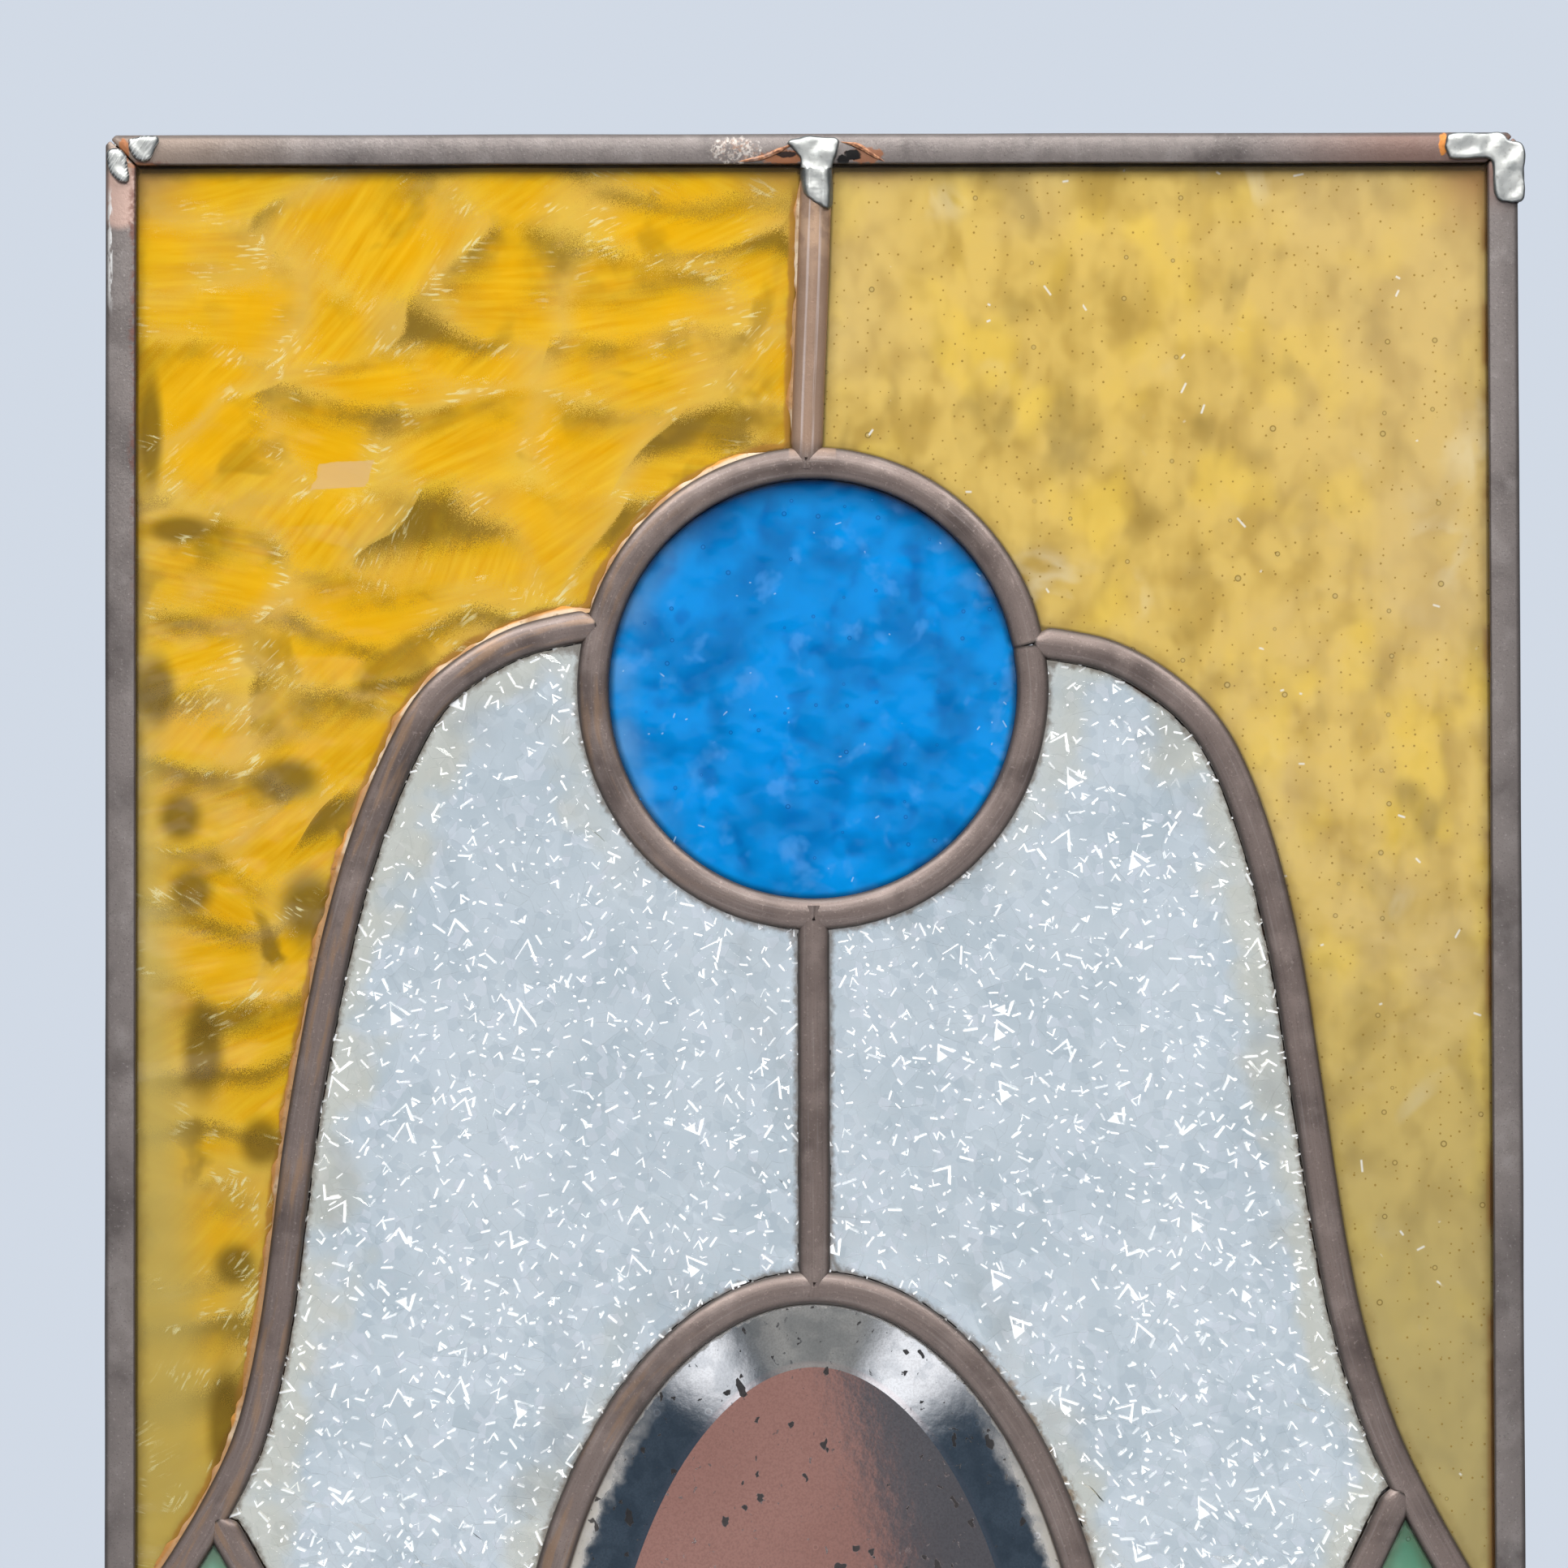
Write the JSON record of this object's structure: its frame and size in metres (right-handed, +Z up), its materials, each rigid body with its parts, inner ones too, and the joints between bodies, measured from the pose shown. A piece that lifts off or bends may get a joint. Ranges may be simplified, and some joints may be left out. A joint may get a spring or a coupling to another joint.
{
  "type": "stained glass window panel",
  "caption": "Leaded stained glass panel: amber fields over a bell of clear crackle glass, a blue roundel, a bevelled oval mirror and green leaves, in soldered lead came.",
  "frame": {"origin": "middle of the lower edge of the border, half-way through its thickness, where the panel sits in its rebate", "axes": "+Z up the panel, +X to the right as seen from the front, +Y out of the back; the front faces -Y"},
  "size_m": [0.2913, 0.0092, 0.4802],
  "materials": {
    "lead": "old lead, brown-grey patina",
    "solder": "tin-lead solder, dulled",
    "deep_amber_glass": "rippled, deep amber",
    "pale_amber_glass": "seedy, pale amber",
    "blue_glass": "hammered, strong blue",
    "crackle_glass": "clear, crackled all over",
    "green_glass": "rippled, soft green",
    "mirror": "bevelled, with age specks"
  },
  "bodies": {
    "root": {"border_top": "lead", "border_right": "lead", "border_bottom": "lead", "border_left": "lead", "roundel_ring": "lead", "mirror_ring": "lead", "came_top_centre": "lead", "came_middle_centre": "lead", "came_bottom_centre": "lead", "curve_left": "lead", "curve_right": "lead", "branch_left": "lead", "branch_right": "lead", "leaf_base_left": "lead", "leaf_base_right": "lead", "upper_amber_left": "deep_amber_glass", "lower_amber_left": "deep_amber_glass", "upper_amber_right": "pale_amber_glass", "lower_amber_right": "pale_amber_glass", "blue_roundel": "blue_glass", "crackle_left": "crackle_glass", "crackle_right": "crackle_glass", "leaf_left": "green_glass", "leaf_right": "green_glass", "bevelled_mirror": "mirror", "solder_top_left_head": "solder", "solder_top_left_side": "solder", "solder_top_centre": "solder", "solder_top_right": "solder", "solder_bottom_left": "solder", "solder_bottom_centre": "solder", "solder_bottom_right": "solder", "solder_back_top_left": "solder", "solder_back_top_centre": "solder", "solder_back_bottom_left": "solder", "solder_back_bottom_centre": "solder", "solder_back_bottom_right": "solder"}
  },
  "joints": []
}
